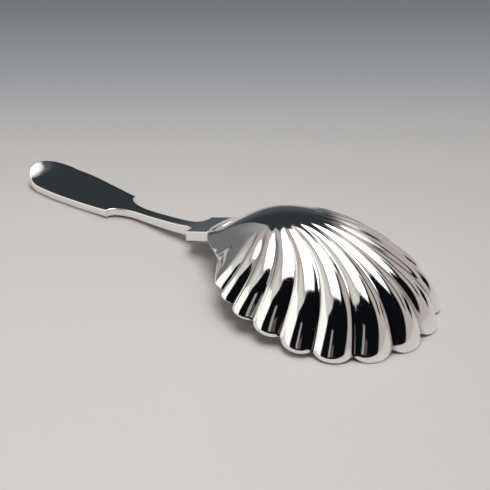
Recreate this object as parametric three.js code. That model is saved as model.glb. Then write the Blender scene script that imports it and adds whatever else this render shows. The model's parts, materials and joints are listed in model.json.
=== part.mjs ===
// A caddy spoon lying bowl down: a die-struck fluted shell bowl, a forged fiddle handle with square
// shoulders at both ends, and the run of hard solder that joins them. It is drawn about the neck, where
// handle and bowl meet: +X runs to the tip of the bowl, +Z away from the table that the spoon lies on.
import * as THREE from "three";

// The shell bowl, in millimetres. The crown centre is where the dome is highest.
const BOWL_LENGTH = 40.6;
const BOWL_WIDTH = 32.5;
const CROWN_FROM_TIP = 16;
const DOME_HEIGHT = 11.43;
const SHEET = 0.7;
// The rim lies on the table at the tip and climbs to this height at the neck.
const RIM_RISE = 5.7;
const RIM_RISE_POWER = 1.3;
// The dome falls as (1 - share)^DOME_FULLNESS from the crown (share 0) to the rim (share 1). Its level
// lines are ovals near the crown, centred and sized by shares of the bowl's length and half width, and
// turn into the rim's own outline further down.
const DOME_FULLNESS = 0.511;
const CROWN_ROUNDING = 0.48;
const OVAL_CENTRE = 0.5735;
const OVAL_REACH = 0.4734;
const OVAL_BREADTH = 0.931;
const OVAL_FADE = 2.92;

// Where the flutes meet, measured from the neck, and how they run out to the rim. They start and are
// fully formed at these shares of their reach, and start later towards the ears.
const UMBO_FROM_NECK = 12.1;
const FLUTES_PER_SIDE = 7;
const FLUTE_ANGLE = 24.6;
const FLUTE_CLOSING = 0.116;
const FLUTE_DEPTH = 0.65;
const FLUTE_POWER = 2;
const FLUTE_BEND = 0.78;
const FLUTE_START = 0.17;
const FLUTE_FORMED = 0.45;
const FLUTE_LATER = 0.25;
const FLUTE_LATER_POWER = 4;
const SCALLOP_SHARE = 0.007;
// A valley lies deeper than a crest, by these shares of the flute's depth.
const VALLEY_INWARDS = 1.38;
const VALLEY_DOWNWARDS = 0.52;
const EAR_ANGLE = 138;

// The half rim from widest point to neck, as shares of the bowl's length from the tip and of its half
// width: the flank, the ear, the hollow flare behind it, and the shoulder of the heel.
const FLANK = [0.649, 0.954];
const EAR = [0.757, 0.8];
const FLARE_TOP = [0.814, 0.615];
const FLARE_FOOT = [0.855, 0.495];
const HEEL_SHOULDER = [0.909, 0.418];
const HEEL_SIDE = [0.96, 0.339];
const SLOPE_AT_NECK_CORNER = 9;

// The handle, measured back from the neck.
const BLOCK_LENGTH = 5.4;
const BLOCK_WIDTH = 7;
const BLOCK_THICKNESS = 1.95;
const BLOCK_SLOPE = 0.38;
const BLOCK_OVER_RIM = 0.25;
const BLOCK_SQUARE = 1;
const STEM_LENGTH = 20;
const STEM_WIDTH = 2.2;
const STEM_HEIGHT_MIDWAY = 2.3;
const STEM_LIFT_AT_SHOULDER = 0.18;
const FIDDLE_LENGTH = 25;
const SHOULDER_WIDTH = 7.8;
const FIDDLE_WIDTH = 10.7;
const FIDDLE_WIDEST_FROM_END = 10;
const FIDDLE_FULLNESS = 0.62;
const FIDDLE_LEVEL_SHARE = 2 / 3;
const FIDDLE_THICKNESS = 1.5;
const FLARE_AT_SHOULDER = -0.11;
const TERMINAL_ROUNDING = 6.2;
const TERMINAL_WIDTH_SHARE = 0.985;
const TERMINAL_FLARE = 0.02;
const TERMINAL_FLAT = 0.02;
const TERMINAL_CURL = 6.4;
const TERMINAL_RISE = 1.7;
const TERMINAL_CURL_POWER = 1.5;
const TERMINAL_CROWN = 0.3;
const SHOULDER_SWEEP = 6.5;
const SHOULDER_SQUARE = 0.25;
const BLOCK_SWEEP = 2.2;
const EDGE_CHAMFER = 0.22;
const LIP_LENGTH = 2;
const LIP_INSET = 0.4;

// The joint between them: how far the solder runs along the block and climbs the heel, and how thick
// its edge is.
const SOLDER_GAP = 0.1;
const SOLDER_LEG = 1.5;
const SOLDER_CLIMB = 1.9;
const SOLDER_EDGE = 0.12;
const SOLDER_INSET = 0.3;
const SOLDER_END_FULLNESS = 0.35;

// How finely the curves are faceted.
const STEPS_PER_FLUTE = 8;
const STEPS_PER_EAR = 3;
const STEPS_PER_HEEL = 11;
const STEPS_PER_NECK = 3;
const BOWL_RINGS = 15;
const RINGS_TOWARDS_RIM = 0.6;
const TERMINAL_STEPS = 14;
const FIDDLE_STEPS = 16;
const SHOULDER_STEPS = 10;
const STEM_STEPS = 10;
const BLOCK_STEPS = 7;
const SOLDER_ROWS = 14;
const SOLDER_COLUMNS = 6;
const HALVINGS = 40;

const { cos, sin, sqrt, abs, hypot, PI } = Math;
const radians = THREE.MathUtils.degToRad;
const clamp = THREE.MathUtils.clamp;
const lerp = THREE.MathUtils.lerp;
const HALF_WIDTH = BOWL_WIDTH / 2;
const CROWN_X = BOWL_LENGTH - CROWN_FROM_TIP;

// A smooth curve y(x) through points with rising x. Its slope at an inner point is that of the parabola
// through the point and its neighbours, and an end slope is the one given.
function smoothThrough(points, slopeAtStart, slopeAtEnd) {
  const slopes = points.map(([x, y], i) => {
    if (i === 0) return slopeAtStart;
    if (i === points.length - 1) return slopeAtEnd;
    const [before, after] = [points[i - 1], points[i + 1]];
    const left = (y - before[1]) / (x - before[0]);
    const right = (after[1] - y) / (after[0] - x);
    return (left * (after[0] - x) + right * (x - before[0])) / (after[0] - before[0]);
  });
  return (x) => {
    let i = 0;
    while (i < points.length - 2 && x > points[i + 1][0]) i++;
    const [x0, y0] = points[i];
    const [x1, y1] = points[i + 1];
    const span = x1 - x0;
    const s = clamp((x - x0) / span, 0, 1);
    const bend0 = slopes[i] * span - (y1 - y0);
    const bend1 = -slopes[i + 1] * span + (y1 - y0);
    return lerp(y0, y1, s) + s * (1 - s) * ((1 - s) * bend0 + s * bend1);
  };
}

// The rim seen from above, as a distance from the crown centre by angle (0 at the tip, PI at the neck).
// The front is a half ellipse, and a smooth curve carries on from it.
function rimFromShares([along, across]) {
  const back = along * BOWL_LENGTH - CROWN_FROM_TIP;
  const side = across * HALF_WIDTH;
  return [Math.atan2(side, -back), hypot(back, side)];
}

// The neck is cut straight across, as wide as the block that it meets.
const NECK_CORNER = [Math.atan2(BLOCK_WIDTH / 2, -CROWN_X), hypot(CROWN_X, BLOCK_WIDTH / 2)];
const behindWidest = smoothThrough(
  [
    [PI / 2, HALF_WIDTH],
    ...[FLANK, EAR, FLARE_TOP, FLARE_FOOT, HEEL_SHOULDER, HEEL_SIDE].map(rimFromShares),
    NECK_CORNER,
  ],
  0,
  SLOPE_AT_NECK_CORNER,
);

function rimRadius(angle) {
  const a = abs(angle);
  if (a > NECK_CORNER[0]) return CROWN_X / -cos(a);
  if (a > PI / 2) return behindWidest(a);
  return 1 / hypot(cos(a) / CROWN_FROM_TIP, sin(a) / HALF_WIDTH);
}

// The height of the rim line, which lifts along the bowl from the tip to the neck.
function rimHeight(x) {
  const share = clamp((BOWL_LENGTH - x) / BOWL_LENGTH, 0, 1) ** RIM_RISE_POWER;
  return RIM_RISE * THREE.MathUtils.smoothstep(share, 0, 1);
}

// The smooth dome under the flutes. The crown is rounded by measuring along a hyperbola.
function domeHeight(x, y) {
  const angle = Math.atan2(y, x - CROWN_X);
  const toRim = clamp(hypot(x - CROWN_X, y) / rimRadius(angle), 0, 1);
  const along = (x - OVAL_CENTRE * BOWL_LENGTH) / (OVAL_REACH * BOWL_LENGTH);
  const oval = hypot(along, y / (OVAL_BREADTH * HALF_WIDTH));
  const share = clamp(lerp(oval, toRim, toRim ** OVAL_FADE), 0, 1);
  const rounded = (s) => hypot(s, CROWN_ROUNDING) - CROWN_ROUNDING;
  return rimHeight(x) + DOME_HEIGHT * (1 - rounded(share) / rounded(1)) ** DOME_FULLNESS;
}

// A line of the shell runs from the umbo (t = 0) to the rim (t = 1), bowed like a flute. Valley is 1 in
// the crease between two flutes and 0 on a crest, and it shortens the line and sinks the surface. The
// shortening goes by its square, which keeps the lobes of the rim round.
function shellPoint(t, angle, valley) {
  const reach = t * (1 - SCALLOP_SHARE * valley ** 2);
  const endX = CROWN_X + rimRadius(angle) * cos(angle) - UMBO_FROM_NECK;
  const endY = rimRadius(angle) * sin(angle);
  const bow = -FLUTE_BEND * reach ** 2 * (1 - reach) * sin(angle);
  const x = UMBO_FROM_NECK + reach * endX - bow * endY;
  const y = reach * endY + bow * endX;
  const late = FLUTE_LATER * (abs(angle) / radians(EAR_ANGLE)) ** FLUTE_LATER_POWER;
  const formed = THREE.MathUtils.smoothstep(reach, FLUTE_START + late, FLUTE_FORMED + late);
  const sunk = FLUTE_DEPTH * valley * formed * reach;
  const inwards = VALLEY_INWARDS * sunk;
  const downwards = VALLEY_DOWNWARDS * sunk;
  return new THREE.Vector3(
    x - inwards * cos(angle),
    y - inwards * sin(angle),
    domeHeight(x, y) - downwards,
  );
}

const creaseAngle = (n) => radians(FLUTE_ANGLE * n - FLUTE_CLOSING * n ** 3);

// One side's lines from the axis to the neck, each as an angle and its valley share. A crease lies on
// the axis, and the ear rises from the last crease without a crest of its own.
function halfLines() {
  const lines = [];
  for (let flute = 0; flute < FLUTES_PER_SIDE; flute++) {
    for (let step = 0; step < STEPS_PER_FLUTE; step++) {
      const across = step / STEPS_PER_FLUTE;
      lines.push([creaseAngle(flute + across), abs(2 * across - 1) ** FLUTE_POWER]);
    }
  }
  const lastCrease = creaseAngle(FLUTES_PER_SIDE);
  for (let step = 0; step < STEPS_PER_EAR; step++) {
    const across = step / STEPS_PER_EAR;
    lines.push([lerp(lastCrease, radians(EAR_ANGLE), across), (1 - across) ** 2]);
  }
  for (let step = 0; step < STEPS_PER_HEEL; step++) {
    lines.push([lerp(radians(EAR_ANGLE), NECK_CORNER[0], step / STEPS_PER_HEEL), 0]);
  }
  for (let step = 0; step <= STEPS_PER_NECK; step++) {
    lines.push([lerp(NECK_CORNER[0], PI, step / STEPS_PER_NECK), 0]);
  }
  return lines;
}

// Rings crowd towards the rim, where the dome turns down.
const ringShare = (ring) => {
  const even = ring / BOWL_RINGS;
  return lerp(even, sin((even * PI) / 2), RINGS_TOWARDS_RIM);
};

// The umbo, then ring after ring of points on the lines.
function ringPoints(lines) {
  const points = [new THREE.Vector3(UMBO_FROM_NECK, 0, domeHeight(UMBO_FROM_NECK, 0))];
  for (let ring = 1; ring <= BOWL_RINGS; ring++) {
    lines.forEach(([angle, valley]) => points.push(shellPoint(ringShare(ring), angle, valley)));
  }
  return points;
}

function bowlShell() {
  const half = halfLines();
  const other = half.slice(1, -1).reverse();
  const lines = [...half, ...other.map(([angle, valley]) => [-angle, valley])];
  const count = lines.length;
  const outer = ringPoints(lines);
  const smoothDome = ringPoints(lines.map(([angle]) => [angle, 0]));
  const at = (ring, line) => (ring === 0 ? 0 : 1 + (ring - 1) * count + (line % count));
  const skin = [];
  for (let ring = 0; ring < BOWL_RINGS; ring++) {
    for (let line = 0; line < count; line++) {
      const [a, b] = [at(ring, line), at(ring + 1, line)];
      const [c, d] = [at(ring + 1, line + 1), at(ring, line + 1)];
      skin.push([b, c, a]);
      if (ring > 0) skin.push([c, d, a]);
    }
  }
  const inner = insideOf(outer, geometryOf(smoothDome, skin), (i) => i >= at(BOWL_RINGS, 0));
  const offset = outer.length;
  const faces = [...skin, ...skin.map(([a, b, c]) => [a + offset, c + offset, b + offset])];
  for (let line = 0; line < count; line++) {
    const [a, b] = [at(BOWL_RINGS, line), at(BOWL_RINGS, line + 1)];
    faces.push([a, a + offset, b], [b, a + offset, b + offset]);
  }
  return geometryOf([...outer, ...inner], faces);
}

// The inner skin lies one sheet inside the outer one, square to the smooth dome, as the die presses it.
// On the rim it lies level with the outer one, because the rim is stoned flat.
function insideOf(points, dome, isRim) {
  dome.computeVertexNormals();
  return points.map((point, i) => {
    const outwards = new THREE.Vector3().fromBufferAttribute(dome.attributes.normal, i);
    if (isRim(i)) outwards.setZ(0).normalize();
    return point.clone().addScaledVector(outwards, -SHEET);
  });
}

function geometryOf(points, faces) {
  const geometry = new THREE.BufferGeometry().setFromPoints(points);
  geometry.setIndex(faces.flat());
  return geometry;
}

// A solid through closed loops of equally many points, which run anticlockwise seen from the last loop.
function loft(loops) {
  const size = loops[0].length;
  const faces = [];
  for (let k = 0; k < loops.length - 1; k++) {
    for (let i = 0; i < size; i++) {
      const [a, b] = [k * size + i, k * size + ((i + 1) % size)];
      faces.push([a, b, a + size], [b, b + size, a + size]);
    }
  }
  const last = (loops.length - 1) * size;
  for (let i = 1; i < size - 1; i++) {
    faces.push([0, i + 1, i], [last, last + i, last + i + 1]);
  }
  return geometryOf(loops.flat(), faces);
}

// Heights along the handle, with x negative from the neck back to the terminal.
const BLOCK_BACK = -BLOCK_LENGTH;
const SHOULDER_X = BLOCK_BACK - STEM_LENGTH;
const TERMINAL_X = SHOULDER_X - FIDDLE_LENGTH;
const CURL_X = TERMINAL_X + TERMINAL_CURL;
// The block's top runs into the heel just over the rim line at the neck.
const BLOCK_TOP_AT_NECK = RIM_RISE + BLOCK_OVER_RIM;
const blockTop = (x) => BLOCK_TOP_AT_NECK + BLOCK_SLOPE * x;
const stemMidX = BLOCK_BACK - STEM_LENGTH / 2;
const stemTop = smoothThrough(
  [
    [SHOULDER_X - FIDDLE_LENGTH * (1 - FIDDLE_LEVEL_SHARE), FIDDLE_THICKNESS],
    [SHOULDER_X, FIDDLE_THICKNESS + STEM_LIFT_AT_SHOULDER],
    [stemMidX, STEM_HEIGHT_MIDWAY],
    [BLOCK_BACK, blockTop(BLOCK_BACK)],
  ],
  0,
  BLOCK_SLOPE,
);

function curlRise(x) {
  const share = clamp((CURL_X - x) / TERMINAL_CURL, 0, 1);
  return TERMINAL_RISE * share ** TERMINAL_CURL_POWER;
}

function topHeight(x) {
  if (x > BLOCK_BACK) return blockTop(x);
  return stemTop(x) + curlRise(x);
}

function thickness(x) {
  const share = clamp((x - SHOULDER_X) / STEM_LENGTH, 0, 1);
  return lerp(FIDDLE_THICKNESS, BLOCK_THICKNESS, THREE.MathUtils.smoothstep(share, 0, 1));
}

// Half widths of the handle: the fiddle swells from its shoulders, and its end is rounded.
const ROUNDING_X = TERMINAL_X + TERMINAL_ROUNDING;
const WIDEST_X = TERMINAL_X + FIDDLE_WIDEST_FROM_END;
const fiddleSide = smoothThrough(
  [
    [ROUNDING_X, (TERMINAL_WIDTH_SHARE * FIDDLE_WIDTH) / 2],
    [WIDEST_X, FIDDLE_WIDTH / 2],
    [(WIDEST_X + SHOULDER_X) / 2, lerp(SHOULDER_WIDTH, FIDDLE_WIDTH, FIDDLE_FULLNESS) / 2],
    [SHOULDER_X, SHOULDER_WIDTH / 2],
  ],
  TERMINAL_FLARE,
  FLARE_AT_SHOULDER,
);

function fiddleHalfWidth(x) {
  const intoRounding = clamp((ROUNDING_X - x) / TERMINAL_ROUNDING, 0, 1);
  return fiddleSide(x) * sqrt(1 - intoRounding ** 2);
}

// An elliptical fillet that sweeps from a shoulder down to the stem. It leaves a square step at the
// shoulder itself.
const sweep = (share, depth) => depth * (1 - sqrt(1 - (1 - clamp(share, 0, 1)) ** 2));

function stemHalfWidth(x) {
  const fiddleDepth = (SHOULDER_WIDTH - STEM_WIDTH) / 2 - SHOULDER_SQUARE;
  const blockDepth = (BLOCK_WIDTH - STEM_WIDTH) / 2 - BLOCK_SQUARE;
  const atFiddle = sweep((x - SHOULDER_X) / SHOULDER_SWEEP, fiddleDepth);
  const atBlock = sweep((BLOCK_BACK - x) / BLOCK_SWEEP, blockDepth);
  return STEM_WIDTH / 2 + atFiddle + atBlock;
}

// A section of the handle: a rectangle with softened edges, whose top may be crowned.
function section(x, half, bottom, top, crown = 0) {
  const c = Math.min(EDGE_CHAMFER, half / 2, (top - bottom) / 3);
  const topAt = (y) => top - crown * (y / half) ** 2;
  return [
    [-half, bottom + c],
    [-half + c, bottom],
    [half - c, bottom],
    [half, bottom + c],
    [half, topAt(half) - c],
    [half - c, topAt(half - c)],
    [half / 2, topAt(half / 2)],
    [0, top],
    [-half / 2, topAt(half / 2)],
    [-half + c, topAt(half - c)],
    [-half, topAt(half) - c],
  ].map(([y, z]) => new THREE.Vector3(x, y, z));
}

const steps = (from, to, count) =>
  Array.from({ length: count + 1 }, (_, i) => lerp(from, to, i / count));

// Rounded ends and sweeps are cut finely where they turn fastest.
const crowded = (from, to, count) => steps(0, 1, count).map((s) => lerp(from, to, s * s));

function handle() {
  const plain = (half) => (x) => {
    const top = topHeight(x);
    const crown = (TERMINAL_CROWN * curlRise(x)) / TERMINAL_RISE;
    return section(x, half(x), top - thickness(x), top, crown);
  };
  const fiddle = [
    ...crowded(TERMINAL_X + TERMINAL_FLAT, ROUNDING_X, TERMINAL_STEPS),
    ...steps(ROUNDING_X, SHOULDER_X, FIDDLE_STEPS).slice(1),
  ].map(plain(fiddleHalfWidth));
  const stem = [
    ...crowded(SHOULDER_X, SHOULDER_X + SHOULDER_SWEEP, SHOULDER_STEPS),
    ...steps(SHOULDER_X + SHOULDER_SWEEP, BLOCK_BACK - BLOCK_SWEEP, STEM_STEPS).slice(1),
    ...crowded(BLOCK_BACK, BLOCK_BACK - BLOCK_SWEEP, BLOCK_STEPS).reverse().slice(1),
  ].map(plain(stemHalfWidth));
  const blockEnd = -SOLDER_GAP;
  const block = [BLOCK_BACK, blockEnd].map(plain(() => BLOCK_WIDTH / 2));
  const lipTop = RIM_RISE - SOLDER_GAP;
  const lip = [blockEnd, LIP_LENGTH].map((x) =>
    section(x, BLOCK_WIDTH / 2 - LIP_INSET, blockTop(x) - BLOCK_THICKNESS, lipTop),
  );
  return loft([...fiddle, ...stem, ...block, ...lip]);
}

// Where a rising function of x passes zero, between the neck and the umbo.
function passesZero(rising) {
  let [low, high] = [-SOLDER_GAP, UMBO_FROM_NECK];
  for (let i = 0; i < HALVINGS; i++) {
    const middle = (low + high) / 2;
    if (rising(middle) < 0) low = middle;
    else high = middle;
  }
  return low;
}

// One row of the solder from the block up the heel, as pairs of a point on its seat and one on its
// face. The face leaves both seats at a slant and is hollow, so it is thickest in the corner.
function solderRow(y, fullness) {
  const overBlock = (x) => blockTop(x) + SOLDER_GAP;
  const overHeel = (x) => domeHeight(x + SOLDER_GAP, y);
  const cornerX = passesZero((x) => overHeel(x) - overBlock(x));
  const topHeight = overBlock(cornerX) + SOLDER_CLIMB * fullness;
  const topX = passesZero((x) => overHeel(x) - topHeight);
  const leg = SOLDER_LEG * fullness;
  const reach = topX - cornerX;
  const turn = (topHeight - overBlock(cornerX)) / reach - BLOCK_SLOPE;
  const thickest = turn / (2 * (1 / leg + 1 / reach));
  const pair = (x, seat, share) => {
    const face = seat + SOLDER_EDGE + thickest * (1 - share) ** 2;
    return [new THREE.Vector3(x, y, seat), new THREE.Vector3(x, y, face)];
  };
  const shares = steps(0, 1, SOLDER_COLUMNS);
  const alongBlock = shares.map((share) => {
    const x = cornerX - leg * share;
    return pair(x, overBlock(x), share);
  });
  const upHeel = shares.slice(1).map((share) => {
    const x = cornerX + reach * share;
    return pair(x, overHeel(x), share);
  });
  return [...alongBlock.reverse(), ...upHeel];
}

// The solder thins out towards both sides of the block.
function solder() {
  const halfRun = BLOCK_WIDTH / 2 - SOLDER_INSET;
  const rows = steps(-1, 1, SOLDER_ROWS).map((share) => {
    const turn = (share * PI) / 2;
    return solderRow(halfRun * sin(turn), lerp(SOLDER_END_FULLNESS, 1, cos(turn)));
  });
  return slab(rows);
}

// A thin solid over a grid of pairs, each a lower and an upper point. Rows follow each other along +Y
// and the pairs in a row along +X.
function slab(rows) {
  const [rowCount, columnCount] = [rows.length, rows[0].length];
  const lower = rows.flat().map((pair) => pair[0]);
  const upper = rows.flat().map((pair) => pair[1]);
  const at = (row, column) => row * columnCount + column;
  const offset = lower.length;
  const faces = [];
  for (let row = 0; row < rowCount - 1; row++) {
    for (let column = 0; column < columnCount - 1; column++) {
      const [a, b] = [at(row, column), at(row, column + 1)];
      const [c, d] = [at(row + 1, column + 1), at(row + 1, column)];
      faces.push([a, c, b], [a, d, c]);
      faces.push([a + offset, b + offset, c + offset], [a + offset, c + offset, d + offset]);
    }
  }
  const along = (count) => steps(0, count - 2, count - 2);
  const [lastRow, lastColumn] = [rowCount - 1, columnCount - 1];
  const border = [
    ...along(columnCount).map((i) => at(0, i)),
    ...along(rowCount).map((i) => at(i, lastColumn)),
    ...along(columnCount).map((i) => at(lastRow, lastColumn - i)),
    ...along(rowCount).map((i) => at(lastRow - i, 0)),
  ];
  border.forEach((a, i) => {
    const b = border[(i + 1) % border.length];
    faces.push([a, b, b + offset], [a, b + offset, a + offset]);
  });
  return geometryOf([...lower, ...upper], faces);
}

function silver(name, color, roughness, geometry) {
  const material = new THREE.MeshStandardMaterial({ color, roughness, metalness: 1 });
  const mesh = new THREE.Mesh(geometry, material);
  mesh.name = name;
  return mesh;
}

// The spoon is drawn about its neck and then centred over the origin.
const spoon = new THREE.Group();
spoon.add(
  silver("fluted_shell_bowl", 0xe6e4df, 0.08, bowlShell()),
  silver("fiddle_handle", 0xe3e1dc, 0.12, handle()),
  silver("solder_seam", 0xd4d1ca, 0.2, solder()),
);
const box = new THREE.Box3().setFromObject(spoon);
spoon.position.x = -(box.min.x + box.max.x) / 2;
spoon.position.z = -box.min.z;

const part = new THREE.Group();
part.add(spoon);
export default part;
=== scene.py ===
# %% [markdown]
# # A caddy spoon in polished silver
# A caddy spoon measures tea leaves from the chest to the pot. This one has a shell bowl with
# fourteen flutes, struck in sheet silver, and a fiddle handle forged from a bar. Hard solder
# joins the two. The spoon lies bowl down, so the outside of the shell is what we see first. We
# take the sizes from a finished construction model, and make surfaces here that are fine enough
# to mirror a studio without a facet.

# %% Load the construction model
import json
from math import atan2, cos, hypot, pi, radians, sin

import bpy
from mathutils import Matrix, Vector

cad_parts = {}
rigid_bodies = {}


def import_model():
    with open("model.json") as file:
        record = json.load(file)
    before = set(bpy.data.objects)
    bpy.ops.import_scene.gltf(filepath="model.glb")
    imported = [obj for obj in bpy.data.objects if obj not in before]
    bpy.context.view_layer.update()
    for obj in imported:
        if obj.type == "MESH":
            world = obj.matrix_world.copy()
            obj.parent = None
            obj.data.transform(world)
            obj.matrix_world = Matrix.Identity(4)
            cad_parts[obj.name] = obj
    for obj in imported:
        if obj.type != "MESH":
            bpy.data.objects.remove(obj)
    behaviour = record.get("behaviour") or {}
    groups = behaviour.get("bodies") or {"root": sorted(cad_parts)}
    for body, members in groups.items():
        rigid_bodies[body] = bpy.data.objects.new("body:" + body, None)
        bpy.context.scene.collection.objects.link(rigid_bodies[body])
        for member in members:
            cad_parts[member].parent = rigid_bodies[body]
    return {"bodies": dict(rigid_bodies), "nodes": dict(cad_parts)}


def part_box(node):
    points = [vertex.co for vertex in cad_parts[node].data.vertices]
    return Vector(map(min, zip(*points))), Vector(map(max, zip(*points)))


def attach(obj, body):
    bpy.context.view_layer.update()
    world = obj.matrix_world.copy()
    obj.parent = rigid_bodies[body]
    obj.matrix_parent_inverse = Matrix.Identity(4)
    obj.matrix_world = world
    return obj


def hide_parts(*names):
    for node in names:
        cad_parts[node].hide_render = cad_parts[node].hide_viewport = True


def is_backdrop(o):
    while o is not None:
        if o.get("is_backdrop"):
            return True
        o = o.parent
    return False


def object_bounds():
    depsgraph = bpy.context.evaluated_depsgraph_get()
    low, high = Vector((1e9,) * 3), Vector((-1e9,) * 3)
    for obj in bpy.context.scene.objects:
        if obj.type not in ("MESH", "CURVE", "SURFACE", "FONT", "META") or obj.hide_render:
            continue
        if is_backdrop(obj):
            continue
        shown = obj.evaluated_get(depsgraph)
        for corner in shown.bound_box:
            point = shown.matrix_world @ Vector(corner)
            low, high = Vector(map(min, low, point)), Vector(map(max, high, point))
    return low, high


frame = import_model()
cad_box = [list(point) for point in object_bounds()]
MM = 0.001
NECK_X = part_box("fluted_shell_bowl")[0].x / MM
BODY = next(iter(frame["bodies"]))
print("pieces:", sorted(frame["nodes"]), "on", BODY, "with the neck at", round(NECK_X, 2), "mm")

# %% [markdown]
# ## The camera
# The camera looks down on the near side of the bowl at about thirty degrees, with the handle
# running away to the upper left. A camera is placed most simply from the point that it looks at:
# go back from there along a direction given by azimuth and elevation, and turn the camera's -Z
# axis to the point.

# %% Place the camera
LOOK_AT = Vector((NECK_X + 1.192, 4.886, 0)) * MM
CAMERA_AZIMUTH = radians(39.616)
CAMERA_ELEVATION = radians(29.656)
CAMERA_DISTANCE = 151.97 * MM
SENSOR = 36
LENS = 62.45


def place_camera():
    level = cos(CAMERA_ELEVATION)
    back = Vector((
        sin(CAMERA_AZIMUTH) * level,
        -cos(CAMERA_AZIMUTH) * level,
        sin(CAMERA_ELEVATION),
    ))
    camera = bpy.data.objects.new("camera", bpy.data.cameras.new("camera"))
    bpy.context.scene.collection.objects.link(camera)
    camera.location = LOOK_AT + back * CAMERA_DISTANCE
    camera.rotation_euler = back.to_track_quat("Z", "Y").to_euler()
    camera.data.sensor_width = SENSOR
    camera.data.lens = LENS
    camera.data.clip_start = 0.01
    bpy.context.scene.camera = camera
    return camera


camera = place_camera()
print("camera at", [round(value / MM, 1) for value in camera.location], "mm")

# %% [markdown]
# ## Node expressions
# Shader maths reads best as maths. A wire stands for one value that flows through a node tree,
# and adding or multiplying wires adds the Math nodes that do it. Every other node comes from one
# method, which takes its kind, its settings and what goes into its sockets.

# %% Write shader maths as expressions
class Wire:
    """One value in a node tree."""

    def __init__(self, tree, socket):
        self.tree = tree
        self.socket = socket

    def math(self, operation, *others):
        inputs = dict(enumerate([self, *others]))
        return self.tree.add("ShaderNodeMath", inputs, operation=operation)

    def __add__(self, other):
        return self.math("ADD", other)

    def __sub__(self, other):
        return self.math("SUBTRACT", other)

    def __mul__(self, other):
        return self.math("MULTIPLY", other)

    def __truediv__(self, other):
        return self.math("DIVIDE", other)

    __radd__ = __add__
    __rmul__ = __mul__

    def __rsub__(self, other):
        return self * -1 + other

    def output(self, name):
        """Another output of the node that this wire comes from."""
        return Wire(self.tree, self.socket.node.outputs[name])

    def larger(self, other):
        return self.math("MAXIMUM", other)

    def rises(self, start, end):
        """0 below start, 1 above end and a smooth step between."""
        inputs = {"Value": self, "From Min": start, "From Max": end}
        return self.tree.add(
            "ShaderNodeMapRange", inputs, interpolation_type="SMOOTHSTEP"
        )

    def between(self, low, high, soft):
        """1 from low to high, with soft edges inside them."""
        return self.rises(low, low + soft) * (1 - self.rises(high - soft, high))


class Tree:
    """The node tree of a material or a world, empty at first."""

    def __init__(self, owner):
        owner.use_nodes = True
        self.nodes = owner.node_tree.nodes
        self.links = owner.node_tree.links
        self.nodes.clear()

    def add(self, kind, inputs=None, **settings):
        node = self.nodes.new(kind)
        for name, value in settings.items():
            if name == "stops":
                self.set_stops(node.color_ramp, value)
            else:
                setattr(node, name, value)
        for name, value in (inputs or {}).items():
            self.connect(value, self.find(node, name))
        return Wire(self, next((out for out in node.outputs if out.enabled), None))

    def find(self, node, name):
        if isinstance(name, int):
            return node.inputs[name]
        return next(i for i in node.inputs if i.enabled and i.name == name)

    def connect(self, value, socket):
        if isinstance(value, Wire):
            self.links.new(value.socket, socket)
        else:
            socket.default_value = value

    def set_stops(self, ramp, stops):
        while len(ramp.elements) < len(stops):
            ramp.elements.new(0.5)
        for element, (place, color) in zip(ramp.elements, stops):
            element.position = place
            element.color = color

    def mix(self, share, first, second):
        inputs = {"Factor": share, "A": first, "B": second}
        return self.add("ShaderNodeMix", inputs, data_type="RGBA")


def tone(red, green, blue):
    """A colour given as it shows on a screen, from 0 to 255, as Blender's linear light."""
    linear = [
        share / 12.92 if share <= 0.04045 else ((share + 0.055) / 1.055) ** 2.4
        for share in (red / 255, green / 255, blue / 255)
    ]
    return (*linear, 1.0)


print("a mid tone of 128 is", round(tone(128, 128, 128)[0], 3), "in linear light")

# %% [markdown]
# ## The studio
# Polished silver has hardly any colour of its own: what we see in it is the room. So the room
# comes before the spoon. A large softbox hangs over the table, a window stands on the left, a
# pale wall on the right, and a dark backdrop and a dark corner behind us give the mirror its
# blacks. All of it is painted on the world by direction, with soft edges, which lights the spoon
# without any noise. Azimuth is counted from straight ahead, to the right. The softbox is level,
# so its edges are straight in distances ahead and to the right for each unit of height.

# %% Find directions in the room
MIRRORED = 0.93
DEGREES = 180 / pi
LOWEST_CEILING = 0.05


def seen(red, green, blue):
    """The light that shows in silver as this colour."""
    return tuple(value / MIRRORED for value in tone(red, green, blue)[:3]) + (1.0,)


def room_directions(tree):
    """Wires for azimuth, elevation, how far ahead, and the place ahead and right on a ceiling."""
    sky = tree.add("ShaderNodeTexCoord").output("Generated")
    x = tree.add("ShaderNodeSeparateXYZ", {"Vector": sky})
    y = x.output("Y")
    z = x.output("Z")
    ahead = y * cos(CAMERA_AZIMUTH) - x * sin(CAMERA_AZIMUTH)
    right = x * cos(CAMERA_AZIMUTH) + y * sin(CAMERA_AZIMUTH)
    azimuth = right.math("ARCTAN2", ahead) * DEGREES
    elevation = z.math("ARCSINE") * DEGREES
    height = z.larger(LOWEST_CEILING)
    return azimuth, elevation, ahead, ahead / height, right / height


print("silver mirrors", MIRRORED, "of the light")

# %% [markdown]
# ## The upright panels
# A panel is a mask in degrees and a colour, which is given as it is to look in the silver. Most
# panels are upright rectangles, so a table holds them, and one function hangs them all. Later
# panels cover earlier ones.

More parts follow.
